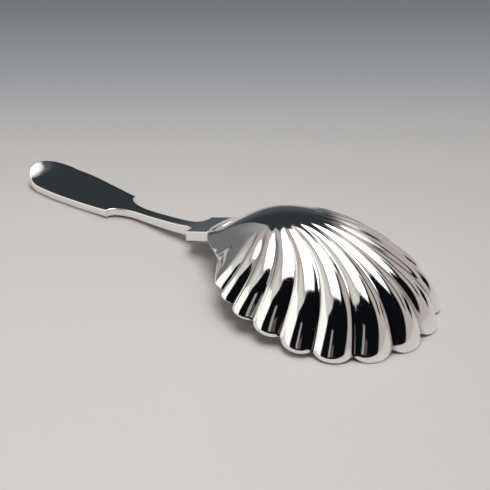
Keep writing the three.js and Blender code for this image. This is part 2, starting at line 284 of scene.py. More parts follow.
# %% List the upright panels
# Each row has two azimuths, their softness, two elevations, their softness, and a colour.
NO_LOWER_EDGE = -100
PANELS_OVER_WINDOW = [(-158, -80, 5, NO_LOWER_EDGE, 64, 8, (200, 202, 198))]
PANELS_BEHIND_US = [
    (-179, -163, 5, 2, 26, 6, (90, 75, 72)),
    (-165, -154, 2, 4, 40, 3, (150, 150, 148)),
]
PANELS_ABOVE_BACKDROP = [
    (-1, 25, 2, 46.5, 57.5, 1.5, (70, 72, 74)),
    (24.5, 30, 1.5, 13, 46, 3, (205, 205, 202)),
    (27.5, 45.5, 1.5, 35.5, 47.5, 1.5, (235, 235, 230)),
    (26, 63, 2, 47, 60, 2, (250, 250, 247)),
    (28, 72, 4, 59, 73, 3, (150, 150, 150)),
    (64, 98, 4, 52, 73, 4, (66, 68, 68)),
]
PANELS_ON_THE_RIGHT = [
    (37, 53, 3, 30, 43, 3, (62, 68, 64)),
    (50, 77, 3, NO_LOWER_EDGE, 18, 6, (18, 18, 21)),
]


def hang_panels(tree, room, azimuth, elevation, panels):
    for left, right, side_soft, low, high, soft, color in panels:
        mask = azimuth.between(left, right, side_soft) * elevation.between(low, high, soft)
        room = tree.mix(mask, room, seen(*color))
    return room


print(len(PANELS_ABOVE_BACKDROP), "panels above the backdrop")

# %% [markdown]
# ## Walls, window and backdrop
# The wall and the backdrop change tone with height, as lit walls do. The window's top and the
# dark corner's edges slant, because the real ones are near and we see them at an angle.

# %% Paint the walls
PALE_WALL = seen(175, 167, 163)


def paint_left_wall(tree, azimuth, elevation):
    """A pale room with a grey wall and a window on the left."""
    grey_wall = azimuth.between(-66, -24, 4) * (1 - elevation.rises(34, 46))
    grey = tree.mix(elevation.rises(10, 48), seen(108, 109, 113), seen(160, 160, 159))
    room = tree.mix(grey_wall, PALE_WALL, grey)
    room = hang_panels(tree, room, azimuth, elevation, PANELS_OVER_WINDOW)
    slanting_top = elevation + 0.8 * (azimuth + 90).larger(0.0)
    window = azimuth.between(-150, -60, 3) * (1 - slanting_top.rises(34, 38))
    return tree.mix(window, room, seen(252, 252, 249))


def paint_dark_corner(tree, room, azimuth, elevation):
    """The unlit corner behind the camera, which is both ends of the azimuth's range."""
    left_edge = azimuth + 1.3 * (elevation - 42).larger(0.0)
    right_edge = azimuth + 0.75 * elevation
    corner = right_edge.rises(132, 140).larger(1 - left_edge.rises(-124, -119))
    room = tree.mix(corner * (1 - elevation.rises(69, 73)), room, seen(10, 12, 16))
    return hang_panels(tree, room, azimuth, elevation, PANELS_BEHIND_US)


def paint_backdrop(tree, room, azimuth, elevation):
    """The dark backdrop ahead, which the handle and the crown reflect, and what hangs by it."""
    backdrop = azimuth.rises(-28.6, -27.4) * (1 - azimuth.rises(14, 24))
    backdrop = backdrop * (1 - elevation.rises(47, 49))
    graded = tree.mix(elevation.rises(-4, 24), seen(84, 88, 91), seen(46, 51, 55))
    room = tree.mix(backdrop, room, graded)
    room = hang_panels(tree, room, azimuth, elevation, PANELS_ABOVE_BACKDROP)
    slanting = elevation + 0.45 * (azimuth - 55)
    rail = azimuth.between(50, 94, 3) * slanting.between(37, 48, 2)
    room = tree.mix(rail, room, seen(24, 26, 27))
    return hang_panels(tree, room, azimuth, elevation, PANELS_ON_THE_RIGHT)


print("pale wall at", [round(value, 2) for value in PALE_WALL[:3]])

# %% [markdown]
# ## The softbox
# A softbox is a lamp behind cloth: brightest in the middle, with a dimmer border where the cloth
# hangs past the lamp. That border is what makes the edge of its reflection soft. One of its
# corners is cut off. It is slightly cool, against the warm tone of the wall.

# %% Hang the softbox
# Edges for each unit of height: near and far with their softness, then from nothing to full.
COOL_WHITE = (1.0, 1.012, 1.03)
SOFTBOX_LIGHT = 5.1
SOFTBOX_CLOTH = 0.85
CUT_CORNER_SLANT = 0.7
CLOTH_EDGES = {
    "ahead": (-0.35, 0.9, 0.09),
    "left": (-0.38, -0.22),
    "right": (0.46, 0.54),
    "corner": (0.865, 0.905),
}
LAMP_EDGES = {
    "ahead": (-0.34, 0.86, 0.18),
    "left": (-0.34, -0.16),
    "right": (0.34, 0.5),
    "corner": (0.68, 0.86),
}


def level_panel(ahead, right, edges):
    mask = ahead.between(*edges["ahead"])
    mask = mask * right.rises(*edges["left"]) * (1 - right.rises(*edges["right"]))
    return mask * (1 - (ahead + CUT_CORNER_SLANT * right).rises(*edges["corner"]))


def light_softbox(tree, room, elevation, ahead, right):
    cloth = tuple(SOFTBOX_CLOTH * share for share in COOL_WHITE) + (1.0,)
    lamp = tuple(SOFTBOX_LIGHT * share for share in COOL_WHITE) + (1.0,)
    light = tree.mix(level_panel(ahead, right, LAMP_EDGES), cloth, lamp)
    above_table = elevation.rises(5, 10)
    return tree.mix(level_panel(ahead, right, CLOTH_EDGES) * above_table, room, light)


print("softbox", SOFTBOX_LIGHT / SOFTBOX_CLOTH, "times as bright in the middle as at its border")

# %% [markdown]
# ## Putting the room together
# The camera itself looks past the paper at a plain tone: dark beyond the paper's dark end, and
# pale on the other side. The silver still mirrors the painted room, because only rays straight
# from the camera see that tone.

# %% Paint the room on the world
PALE_BEYOND = tone(205, 201, 198)
DARK_BEYOND = tone(50, 55, 59)


def paint_room():
    world = bpy.data.worlds.new("studio")
    bpy.context.scene.world = world
    tree = Tree(world)
    azimuth, elevation, far, ahead, right = room_directions(tree)
    room = paint_left_wall(tree, azimuth, elevation)
    room = paint_dark_corner(tree, room, azimuth, elevation)
    room = paint_backdrop(tree, room, azimuth, elevation)
    room = light_softbox(tree, room, elevation, ahead, right)
    looked_at = tree.add("ShaderNodeLightPath").output("Is Camera Ray")
    room = tree.mix(looked_at, room, tree.mix(far.rises(-0.2, 0.3), PALE_BEYOND, DARK_BEYOND))
    shader = tree.add("ShaderNodeBackground", {"Color": room, "Strength": 1.0})
    tree.add("ShaderNodeOutputWorld", {"Surface": shader})


paint_room()
bpy.context.scene.view_settings.view_transform = "Standard"
print("room painted around an azimuth of", round(CAMERA_AZIMUTH * DEGREES, 1), "degrees")

# %% [markdown]
# ## The table
# The spoon lies on a pale sheet. A plane is enough. Its colour holds painted shade: it darkens
# away from the camera where the light falls off with distance, and a little towards the right
# near the spoon. The colour follows the distance beyond the spoon, worked out from the object's
# own coordinates, so it stays put when the camera moves. A colour ramp holds the tones, with
# their painted falloff, at their distances.

# %% Lay the paper with its painted falloff
PAPER_SIZE = 6.0
# Tones of the paper by distance beyond the spoon in mm, with painted falloff of light away from
# the camera.
PAPER_TONES_WITH_PAINTED_FALLOFF = [
    (-58, (207, 203, 200)),
    (-28, (205, 201, 198)),
    (0, (200, 196, 193)),
    (27, (190, 187, 184)),
    (43, (183, 180, 177)),
    (61, (171, 170, 169)),
    (82, (155, 156, 158)),
    (108, (138, 142, 145)),
    (140, (122, 126, 129)),
    (172, (110, 114, 117)),
    (260, (80, 85, 89)),
    (400, (50, 55, 59)),
]
PAPER_START = PAPER_TONES_WITH_PAINTED_FALLOFF[0][0]
PAPER_REACH = PAPER_TONES_WITH_PAINTED_FALLOFF[-1][0] - PAPER_START
# Painted falloff of light: near the spoon the paper is darker to the right and lighter to the
# left.
PAINTED_FALLOFF_TO_RIGHT = 1.7
MOST_PAINTED_FALLOFF = 0.12
PAPER_GRAIN = 900.0
GRAIN_CONTRAST = 0.03


def lay_paper():
    bpy.ops.mesh.primitive_plane_add(size=PAPER_SIZE)
    paper = bpy.context.object
    paper.name = "paper_sweep"
    material = bpy.data.materials.new("paper_painted_falloff")
    tree = Tree(material)
    place = tree.add("ShaderNodeTexCoord").output("Object")
    x = tree.add("ShaderNodeSeparateXYZ", {"Vector": place})
    y = x.output("Y")
    ahead = y * cos(CAMERA_AZIMUTH) - x * sin(CAMERA_AZIMUTH)
    right = x * cos(CAMERA_AZIMUTH) + y * sin(CAMERA_AZIMUTH)
    along = (ahead / MM - PAPER_START) / PAPER_REACH
    stops = [((far - PAPER_START) / PAPER_REACH, tone(*color)) for far, color in PAPER_TONES_WITH_PAINTED_FALLOFF]
    # The ramp darkens the paper with distance: painted falloff of light.
    graded = tree.add("ShaderNodeValToRGB", {"Fac": along}, stops=stops)
    inputs = {"Vector": place, "Scale": PAPER_GRAIN, "Detail": 4.0}
    grain = tree.add("ShaderNodeTexNoise", inputs)
    # Painted shade to the right, which fades out away from the spoon.
    painted_falloff_right = (right * PAINTED_FALLOFF_TO_RIGHT).larger(-MOST_PAINTED_FALLOFF).math("MINIMUM", MOST_PAINTED_FALLOFF)
    level = 1 - GRAIN_CONTRAST / 2 + GRAIN_CONTRAST * grain
    level = level - painted_falloff_right * (1 - along.rises(0.1, 0.4))
    color = tree.mix(level, (0.0, 0.0, 0.0, 1.0), graded)
    matt = {"Base Color": color, "Roughness": 0.75, "Specular IOR Level": 0.2}
    shader = tree.add("ShaderNodeBsdfPrincipled", matt)
    tree.add("ShaderNodeOutputMaterial", {"Surface": shader})
    paper.data.materials.append(material)
    paper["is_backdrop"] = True
    return paper


lay_paper()
print("paper graded over", PAPER_REACH, "mm")

# %% [markdown]
# ## Silver
# Hand-polished silver mirrors sharply, but not perfectly. Buffing leaves hairlines that run
# mostly one way, and use adds stray scratches. The narrow valley creases of the bowl are painted
# darker, warmer and a little rougher: painted shade in the creases. The scratches here are noise
# that is stretched until its grains are lines, and they only disturb the roughness and, very
# slightly, the surface. Where a crease is, and so where the painted shade goes, is written on the
# mesh as an attribute.

# %% Mix the silver
# The colour of the painted shade in the valley creases, as shares of the silver's colour.
PAINTED_CREASE_SHADE = (0.16, 0.14, 0.12)
WARM_FILM = (0.96, 0.93, 0.88)
FILM_SHARE = 0.5
ALONG_HAIRLINE = 60.0
HAIRLINES = [(0.5, 9000.0, 0.68), (1.9, 7000.0, 0.7), (2.8, 12000.0, 0.7)]
HAIRLINE_DEPTH = 0.00001


def hairlines(tree, place, turn, fineness, rarity):
    """Sparse lines a few hundredths of a millimetre wide, all near one direction."""
    inputs = {
        "Vector": place,
        "Rotation": (0.3 * turn, 0.2 * turn, turn),
        "Scale": (fineness, ALONG_HAIRLINE, fineness),
    }
    stretched = tree.add("ShaderNodeMapping", inputs)
    noise = tree.add("ShaderNodeTexNoise", {"Vector": stretched, "Scale": 1.0, "Detail": 2.0})
    return noise.rises(rarity, rarity + 0.05)


def tinted(color, shares):
    return tuple(share * part for share, part in zip(color[:3], shares)) + (1.0,)


def silver(name, color, polish, haze, painted_shade_attribute=None):
    material = bpy.data.materials.new(name)
    tree = Tree(material)
    place = tree.add("ShaderNodeTexCoord").output("Object")
    scratches = hairlines(tree, place, *HAIRLINES[0])
    for turn, fineness, rarity in HAIRLINES[1:]:
        scratches = scratches + hairlines(tree, place, turn, fineness, rarity)
    scratches = scratches.math("MINIMUM", 1.0)
    cloud = tree.add("ShaderNodeTexNoise", {"Vector": place, "Scale": 140.0, "Detail": 5.0})
    film = FILM_SHARE * cloud.rises(0.4, 0.8)
    base = tree.mix(film, color, tinted(color, WARM_FILM))
    roughness = polish + haze * cloud.rises(0.45, 0.75) + 0.08 * scratches
    # Painted shade: the valley creases are darkened, warmed and made a little rougher.
    if painted_shade_attribute:
        hollow = tree.add("ShaderNodeAttribute", attribute_name=painted_shade_attribute).output("Fac")
        left = hollow * (0.35 + 0.65 * cloud.rises(0.3, 0.7))
        base = tree.mix(left, base, tinted(color, PAINTED_CREASE_SHADE))
        roughness = roughness + 0.1 * left
    inputs = {"Strength": 0.1, "Distance": HAIRLINE_DEPTH, "Height": scratches}
    bump = tree.add("ShaderNodeBump", inputs)
    shader = tree.add(
        "ShaderNodeBsdfPrincipled",
        {"Base Color": base, "Metallic": 1.0, "Roughness": roughness, "Normal": bump},
    )
    tree.add("ShaderNodeOutputMaterial", {"Surface": shader})
    return material


# The attribute that carries the painted shade of the bowl's creases.
HOLLOW = "hollow"
BOWL_SILVER = silver("polished_bowl_silver", (0.95, 0.94, 0.92, 1.0), 0.035, 0.03, HOLLOW)
HANDLE_SILVER = silver("polished_handle_silver", (0.95, 0.935, 0.91, 1.0), 0.05, 0.05)
SOLDER_SILVER = silver("hard_solder_silver", (0.9, 0.88, 0.83, 1.0), 0.12, 0.08)
print("three silvers mixed")

# %% [markdown]
# ## The outline of the rim
# The bowl's rim, seen from above, is half an ellipse in front and a smooth curve through a few
# measured points behind, where it flares in hollow from the ears to the square heel. We give it
# as a distance from the crown for each angle. The curve is reused for the handle, whose sides are
# drawn by the same kind of points.

# %% Draw the rim
BOWL_LENGTH = 40.6
HALF_WIDTH = 16.25
CROWN_FROM_TIP = 16
RIM_RISE = 5.7
RIM_RISE_POWER = 1.3
NECK_WIDTH = 7.0
SLOPE_AT_NECK = 9
RIM_BEHIND = [
    (0.649, 0.954),
    (0.757, 0.8),
    (0.814, 0.615),
    (0.855, 0.495),
    (0.909, 0.418),
    (0.96, 0.339),
]
CROWN_X = BOWL_LENGTH - CROWN_FROM_TIP


def clamp(value, low=0.0, high=1.0):
    return max(low, min(high, value))


def blend(first, second, share):
    return first + (second - first) * share


def smoothstep(share):
    share = clamp(share)
    return share * share * (3 - 2 * share)


def smooth_through(points, first_slope, last_slope):
    """A smooth curve through points, sloping at each like the parabola through its neighbours."""
    slopes = [first_slope]
    for (x0, y0), (x1, y1), (x2, y2) in zip(points, points[1:], points[2:]):
        left = (y1 - y0) / (x1 - x0)
        right = (y2 - y1) / (x2 - x1)
        slopes.append((left * (x2 - x1) + right * (x1 - x0)) / (x2 - x0))
    slopes.append(last_slope)

    def curve(x):
        i = 0
        while i < len(points) - 2 and x > points[i + 1][0]:
            i += 1
        (x0, y0), (x1, y1) = points[i], points[i + 1]
        span = x1 - x0
        share = clamp((x - x0) / span)
        start_bend = slopes[i] * span - (y1 - y0)
        end_bend = (y1 - y0) - slopes[i + 1] * span
        bend = (1 - share) * start_bend + share * end_bend
        return y0 + (y1 - y0) * share + share * (1 - share) * bend

    return curve


def as_angle_and_radius(along, across):
    back = along * BOWL_LENGTH - CROWN_FROM_TIP
    side = across * HALF_WIDTH
    return atan2(side, -back), hypot(back, side)


NECK_CORNER = (atan2(NECK_WIDTH / 2, -CROWN_X), hypot(CROWN_X, NECK_WIDTH / 2))
rim_behind = smooth_through(
    [(pi / 2, HALF_WIDTH), *[as_angle_and_radius(*share) for share in RIM_BEHIND], NECK_CORNER],
    0,
    SLOPE_AT_NECK,
)


def rim_radius(angle):
    turn = abs(angle)
    if turn > NECK_CORNER[0]:
        return CROWN_X / -cos(turn)
    if turn > pi / 2:
        return rim_behind(turn)
    return 1 / hypot(cos(turn) / CROWN_FROM_TIP, sin(turn) / HALF_WIDTH)


def rim_height(x):
    return RIM_RISE * smoothstep(clamp((BOWL_LENGTH - x) / BOWL_LENGTH) ** RIM_RISE_POWER)


half_widths = [rim_radius(radians(turn)) * sin(radians(turn)) for turn in range(180)]
print("rim", round(2 * max(half_widths), 2), "mm wide")

# %% [markdown]
# ## The dome
# The dome falls from a rounded crown to the rim. Near the crown its level lines are ovals, and
# further down they turn into the rim's own outline, so that the hollow flare of the rim only
# shows where the real one does, close to the edge. A plain power of the fall would end in an
# upright wall, and we let the last part lean, most of all at the heel.

# %% Raise the dome
DOME_HEIGHT = 11.4
DOME_FULLNESS = 0.511
CROWN_ROUNDING = 0.48
OVAL_CENTRE = 0.5735
OVAL_REACH = 0.4734
OVAL_BREADTH = 0.931
OVAL_FADE = 2.92
RIM_SOFTENING = 0.14
HEEL_SOFTENING = 0.28
SOFTENS_TOWARDS_RIM = 5
HEEL_FROM = radians(105)
HEEL_TURN = radians(55)


def rounded(share):
    return hypot(share, CROWN_ROUNDING) - CROWN_ROUNDING


def dome_height(x, y):
    angle = atan2(y, x - CROWN_X)
    to_rim = clamp(hypot(x - CROWN_X, y) / rim_radius(angle))
    along = (x - OVAL_CENTRE * BOWL_LENGTH) / (OVAL_REACH * BOWL_LENGTH)
    oval = hypot(along, y / (OVAL_BREADTH * HALF_WIDTH))
    share = clamp(blend(oval, to_rim, to_rim**OVAL_FADE))
    fallen = rounded(share) / rounded(1)
    heel = smoothstep((abs(angle) - HEEL_FROM) / HEEL_TURN)
    softening = blend(RIM_SOFTENING, HEEL_SOFTENING, heel) * fallen**SOFTENS_TOWARDS_RIM
    return rim_height(x) + DOME_HEIGHT * (1 - fallen) ** (DOME_FULLNESS + softening)


crown = max(dome_height(x / 10, 0) for x in range(int(10 * BOWL_LENGTH)))
print("crown at", round(crown, 2), "mm above the table")

# %% [markdown]
# ## The flutes
# All the flutes run from one point, the umbo, near the heel of the bowl, and part like the ribs
# of a fan. The shell is worked out as a function: give it a place along a flute and a place
# across the fan, and it gives a point in space. Near the umbo the metal is smooth, because the
# die has no room for flutes there.

# %% Lay out the flutes
UMBO = 12.1
FLUTES_PER_SIDE = 7
FLUTE_ANGLE = 24.6
FLUTE_CLOSING = 0.116
FLUTE_DEPTH = 0.65
FLUTE_POWER = 2
FLUTE_BEND = 0.78
FLUTE_START = 0.17
FLUTE_FORMED = 0.45
FLUTE_LATER = 0.25
FLUTE_LATER_POWER = 4
SCALLOP_SHARE = 0.007
VALLEY_INWARDS = 1.38
VALLEY_DOWNWARDS = 0.52
VALLEY_ROUNDING = 0.1
EAR_ANGLE = radians(138)


def formed_share(reach, angle):
    """How much of its depth a flute has at this share of its reach."""
    late = FLUTE_LATER * (abs(angle) / EAR_ANGLE) ** FLUTE_LATER_POWER
    return smoothstep((reach - FLUTE_START - late) / (FLUTE_FORMED - FLUTE_START))


def shell_point(t, angle, valley):
    """A point of the shell in millimetres from the neck. t is 0 at the umbo and 1 at the rim."""
    reach = t * (1 - SCALLOP_SHARE * valley**2)
    end_x = CROWN_X + rim_radius(angle) * cos(angle) - UMBO
    end_y = rim_radius(angle) * sin(angle)
    bow = -FLUTE_BEND * reach**2 * (1 - reach) * sin(angle)
    x = UMBO + reach * end_x - bow * end_y
    y = reach * end_y + bow * end_x
    sunk = FLUTE_DEPTH * valley * formed_share(reach, angle) * reach
    inwards = VALLEY_INWARDS * sunk
    return Vector((
        x - inwards * cos(angle),
        y - inwards * sin(angle),
        dome_height(x, y) - VALLEY_DOWNWARDS * sunk,
    ))


def crease_angle(n):
    return radians(FLUTE_ANGLE * n - FLUTE_CLOSING * n**3)


def valley_share(across):
    """0 on the crest of a flute and 1 in the valleys beside it, which are narrow and round."""
    side = abs(2 * across - 1)
    start = 1 - VALLEY_ROUNDING
    slope = FLUTE_POWER * start ** (FLUTE_POWER - 1)
    deepest = start**FLUTE_POWER + slope * VALLEY_ROUNDING / 2
    if side <= start:
        return side**FLUTE_POWER / deepest
    return 1 - slope * (1 - side) ** 2 / (2 * VALLEY_ROUNDING * deepest)


def fan_line(place):
    """The angle and valley share at a place across the fan, counted in flutes from the axis."""
    side = -1 if place < 0 else 1
    place = abs(place)
    ear_start = crease_angle(FLUTES_PER_SIDE)
    if place <= FLUTES_PER_SIDE:
        return side * crease_angle(place), valley_share(place % 1)
    if place <= FLUTES_PER_SIDE + 1:
        across = place - FLUTES_PER_SIDE
        return side * blend(ear_start, EAR_ANGLE, across), (1 - across) ** 2
    if place <= FLUTES_PER_SIDE + 2:
        across = place - FLUTES_PER_SIDE - 1
        return side * blend(EAR_ANGLE, NECK_CORNER[0], across), 0
    across = place - FLUTES_PER_SIDE - 2
    return side * blend(NECK_CORNER[0], pi, across), 0


print("tip of the shell at", [round(value, 2) for value in shell_point(1, 0, 1)])

# %% [markdown]
# ## Tools for the bench
# Some small helpers are used for every piece. Everything is deselected before an operator runs,
# because operators act on all that is selected. A grid is the start of each piece: it's the one
# primitive whose rows and columns we can lay over a formula, as sheet metal is pressed over a
# die.

# %% Set out the tools
SMOOTH_BELOW = radians(40)


def deselect_all():
    if bpy.context.object and bpy.context.object.mode != "OBJECT":
        bpy.ops.object.mode_set(mode="OBJECT")
    bpy.ops.object.select_all(action="DESELECT")


def pick(piece):
    deselect_all()
    piece.select_set(True)
    bpy.context.view_layer.objects.active = piece


def to_frame(point):
    """A point in millimetres from the neck, in the metres of the construction model."""
    return Vector((point.x + NECK_X, point.y, point.z)) * MM


def add_grid(name, columns, rows, place):
    """A grid primitive whose vertex in each column and row is moved to place(column, row)."""
    deselect_all()
    bpy.ops.mesh.primitive_grid_add(x_subdivisions=columns - 1, y_subdivisions=rows - 1, size=1)
    piece = bpy.context.object
    piece.name = name
    for vertex in piece.data.vertices:
        column = round((vertex.co.x + 0.5) * (columns - 1))
        row = round((vertex.co.y + 0.5) * (rows - 1))
        vertex.co = to_frame(place(column, row))
    return piece


def merge_and_face_out(piece, distance=0.002):
    pick(piece)
    bpy.ops.object.mode_set(mode="EDIT")
    bpy.ops.mesh.select_all(action="SELECT")
    bpy.ops.mesh.remove_doubles(threshold=distance * MM)
    bpy.ops.mesh.normals_make_consistent(inside=False)
    bpy.ops.object.mode_set(mode="OBJECT")


def apply_modifier(piece, kind, **settings):
    modifier = piece.modifiers.new(kind.lower(), kind)
    for name, value in settings.items():
        setattr(modifier, name, value)
    pick(piece)
    bpy.ops.object.modifier_apply(modifier=modifier.name)


def hand_over(piece, material, node):
    """Smooth a finished piece, give it its silver and put it in place of its construction node."""
    pick(piece)
    bpy.ops.object.shade_smooth_by_angle(angle=SMOOTH_BELOW)
    piece.data.materials.append(material)
    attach(piece, BODY)
    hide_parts(node)
    low = [round(min(vertex.co[i] for vertex in piece.data.vertices) / MM, 2) for i in range(3)]
    high = [round(max(vertex.co[i] for vertex in piece.data.vertices) / MM, 2) for i in range(3)]
    print(piece.name, len(piece.data.polygons), "faces from", low, "to", high)


print("tools ready")

# %% [markdown]
# ## The bowl
# The real bowl starts as a flat disc and is struck between two dies. We do much the same: a flat
# grid is pressed over the formula, one side of the grid becoming the umbo and the other the rim.
# Its two long edges meet at the neck, where merging doubles closes the seam. Solidify then gives
# the skin its thickness, inwards.

# %% Strike the bowl
SHEET = 0.7
LINES_PER_FLUTE = 18
LINES_PER_EAR = 10
LINES_PER_HEEL = 30
LINES_PER_NECK = 8
RINGS = 90
RINGS_TOWARDS_RIM = 0.95
HOLLOW_SHARPNESS = 9


def fan_places():
    """Places across the fan from one side of the neck round the tip to the other, in flutes."""
    half = [step / LINES_PER_FLUTE for step in range(FLUTES_PER_SIDE * LINES_PER_FLUTE)]
    start = FLUTES_PER_SIDE
    for lines in (LINES_PER_EAR, LINES_PER_HEEL, LINES_PER_NECK):
        half += [start + step / lines for step in range(lines)]
        start += 1
    half.append(start)
    return [-place for place in reversed(half[1:])] + half


def ring_share(ring):
    even = ring / RINGS
    return blend(even, sin(even * pi / 2), RINGS_TOWARDS_RIM)


def strike_bowl():
    lines = [fan_line(place) for place in fan_places()]

    def place(column, row):
        angle, valley = lines[column]
        return shell_point(ring_share(row), angle, valley)

    bowl = add_grid("shell_bowl", len(lines), RINGS + 1, place)
    # The attribute marks the narrow valley creases, where the bowl's silver gets painted shade.
    hollow = bowl.data.attributes.new(HOLLOW, "FLOAT", "POINT")
    for vertex in bowl.data.vertices:
        angle, valley = lines[vertex.index % len(lines)]
        reach = ring_share(vertex.index // len(lines))
        hollow.data[vertex.index].value = valley**HOLLOW_SHARPNESS * formed_share(reach, angle)
    merge_and_face_out(bowl)
    return bowl


bowl = strike_bowl()
print("skin of the bowl:", len(bowl.data.polygons), "faces")

# %% [markdown]
# ## The rim
# After striking, the edge is filed and rubbed level on a flat stone. Solidify alone would leave
# the inner edge hanging lower than the outer one, so every point of the inside that hangs below
# the rim beside it is lifted level with it. Then the corner is eased, because a sharp edge would
# cut: the outer edge loop is selected and bevelled, and in polished metal that thin bevel is what
# catches the light all round the bowl.

# %% Stone the rim
EDGE_EASED = 0.1
EASING_STEPS = 3


def border_vertices(piece):
    """Indices of the vertices on the open edge of a sheet."""
    used = {}
    for face in piece.data.polygons:
        for key in face.edge_keys:
            used[key] = used.get(key, 0) + 1
    return {index for key, count in used.items() if count == 1 for index in key}


def give_thickness(bowl):
    """Solidify numbers the inside's vertices after the outside's, in the same order."""
    outside = [vertex.co.copy() for vertex in bowl.data.vertices]
    border = border_vertices(bowl)
    apply_modifier(bowl, "SOLIDIFY", thickness=SHEET * MM, offset=-1, use_even_offset=False)
    rim = [(index, outside[index]) for index in border]
    for vertex in bowl.data.vertices[len(outside):2 * len(outside)]:
        near = min(rim, key=lambda point: (point[1].xy - vertex.co.xy).length_squared)
        if (near[1].xy - vertex.co.xy).length < 2 * SHEET * MM:
            vertex.co.z = max(vertex.co.z, near[1].z)
    return border


def ease_edge(piece, vertices, width):
    pick(piece)
    for part in [*piece.data.polygons, *piece.data.vertices]:
        part.select = False
    for edge in piece.data.edges:
        edge.select = edge.vertices[0] in vertices and edge.vertices[1] in vertices
    bpy.ops.object.mode_set(mode="EDIT")
    bpy.ops.mesh.select_mode(type="EDGE")
    bpy.ops.mesh.bevel(offset=width * MM, segments=EASING_STEPS, profile=0.5, affect="EDGES")
    bpy.ops.mesh.select_mode(type="VERT")
    bpy.ops.object.mode_set(mode="OBJECT")


rim_vertices = give_thickness(bowl)
ease_edge(bowl, rim_vertices, EDGE_EASED)
hand_over(bowl, BOWL_SILVER, "fluted_shell_bowl")

# %% [markdown]
# ## The handle from the side
# The handle is forged from one bar: a thick square block at the neck, a narrow stem, and a thin
# broad fiddle whose end curls up a little from the table. All heights are functions of x, which
# runs from 0 at the neck back to the terminal.

# %% Draw the handle's heights
BLOCK_LENGTH = 5.4
BLOCK_THICKNESS = 1.95
BLOCK_SLOPE = 0.33
BLOCK_OVER_RIM = 0.115
STEM_LENGTH = 20
STEM_HEIGHT_MIDWAY = 2.3
STEM_LIFT = 0.18
FIDDLE_LENGTH = 25
FIDDLE_THICKNESS = 1.5
TERMINAL_CURL = 6.4
TERMINAL_RISE = 1.7
TERMINAL_CURL_POWER = 1.5
TERMINAL_CROWN = 0.3
SOLDER_GAP = 0.1
BLOCK_BACK = -BLOCK_LENGTH
SHOULDER_X = BLOCK_BACK - STEM_LENGTH
TERMINAL_X = SHOULDER_X - FIDDLE_LENGTH
LIP_TOP = RIM_RISE - SOLDER_GAP


def block_top(x):
    return RIM_RISE + BLOCK_OVER_RIM + BLOCK_SLOPE * x


stem_top = smooth_through(
    [
        (SHOULDER_X - FIDDLE_LENGTH / 3, FIDDLE_THICKNESS),
        (SHOULDER_X, FIDDLE_THICKNESS + STEM_LIFT),
        (BLOCK_BACK - STEM_LENGTH / 2, STEM_HEIGHT_MIDWAY),
        (BLOCK_BACK, block_top(BLOCK_BACK)),
    ],
    0,
    BLOCK_SLOPE,
)


def curl_rise(x):
    into_curl = clamp((TERMINAL_X + TERMINAL_CURL - x) / TERMINAL_CURL)
    return TERMINAL_RISE * into_curl**TERMINAL_CURL_POWER


def top_height(x):
    return block_top(x) if x > BLOCK_BACK else stem_top(x) + curl_rise(x)


def thickness(x):
    return blend(FIDDLE_THICKNESS, BLOCK_THICKNESS, smoothstep((x - SHOULDER_X) / STEM_LENGTH))


highest = round(block_top(-SOLDER_GAP), 2)
print("handle from", round(TERMINAL_X, 1), "mm, highest at", highest, "mm")

# %% [markdown]
# ## The handle from above
# Half the outline is enough, because the handle is the same on both sides. It is a chain of short
# curves from the middle of the terminal to the middle of the hidden lip under the bowl: the
# rounded end, the swelling side, the square shoulder with its hollow sweep down to the stem, and
# the same in reverse at the block. Each curve gives a place for a share from 0 to 1, and the
# direction that faces outwards comes from two neighbouring places.

# %% Draw the handle's outline
BLOCK_HALF = NECK_WIDTH / 2
BLOCK_SQUARE = 1
STEM_HALF = 1.1
SHOULDER_HALF = 3.9
FIDDLE_HALF = 5.35
FIDDLE_WIDEST_FROM_END = 10
FIDDLE_FULLNESS = 0.62
SHOULDER_SLOPE = -0.11
TERMINAL_ROUNDING = 6.2
TERMINAL_WIDTH_SHARE = 0.985
TERMINAL_FLARE = 0.02
TERMINAL_FLAT = 0.02
SHOULDER_SWEEP = 6.5
SHOULDER_SQUARE = 0.25
BLOCK_SWEEP = 2.2
LIP_LENGTH = 2
LIP_INSET = 0.4
CORNER = 0.25
ROUNDING_X = TERMINAL_X + TERMINAL_ROUNDING
WIDEST_X = TERMINAL_X + FIDDLE_WIDEST_FROM_END
LIP_HALF = BLOCK_HALF - LIP_INSET
fiddle_side = smooth_through(
    [
        (ROUNDING_X, TERMINAL_WIDTH_SHARE * FIDDLE_HALF),
        (WIDEST_X, FIDDLE_HALF),
        ((WIDEST_X + SHOULDER_X) / 2, blend(SHOULDER_HALF, FIDDLE_HALF, FIDDLE_FULLNESS)),
        (SHOULDER_X, SHOULDER_HALF),
    ],
    TERMINAL_FLARE,
    SHOULDER_SLOPE,
)


def straight(start, end):
    return lambda share: (blend(start[0], end[0], share), blend(start[1], end[1], share))


def corner(x, y, start, end):
    """A quarter turn about (x, y) between two directions in degrees, with 0 along +X."""
    def curve(share):
        turn = radians(blend(start, end, share))
        return x + CORNER * cos(turn), y + CORNER * sin(turn)
    return curve


def rounded_end(share):
    first = TERMINAL_FLAT / TERMINAL_ROUNDING
    turn = blend((2 * first) ** 0.5, pi / 2, share)
    x = ROUNDING_X - TERMINAL_ROUNDING * cos(turn)
    return x, fiddle_side(x) * sin(turn)


def side_of_fiddle(share):
    x = blend(ROUNDING_X, SHOULDER_X - CORNER, share)
    return x, fiddle_side(x)


def sweep(x, length, depth):
    """A hollow quarter oval from a shoulder at x down to the stem, or up to it if length < 0."""
    def curve(share):
        turn = share * pi / 2
        return x + length * (1 - cos(turn)), STEM_HALF + depth * (1 - sin(turn))
    return curve


def backwards(curve):
    return lambda share: curve(1 - share)


print("fiddle", round(2 * fiddle_side(WIDEST_X), 2), "mm wide")

# %% [markdown]
# ## Walking round the outline
# The chain is walked with many small steps where it turns and few where it's straight. The lip
# has its own lower top, so each step also says which height its top follows.

# %% Walk round the outline
LITTLE = 0.001


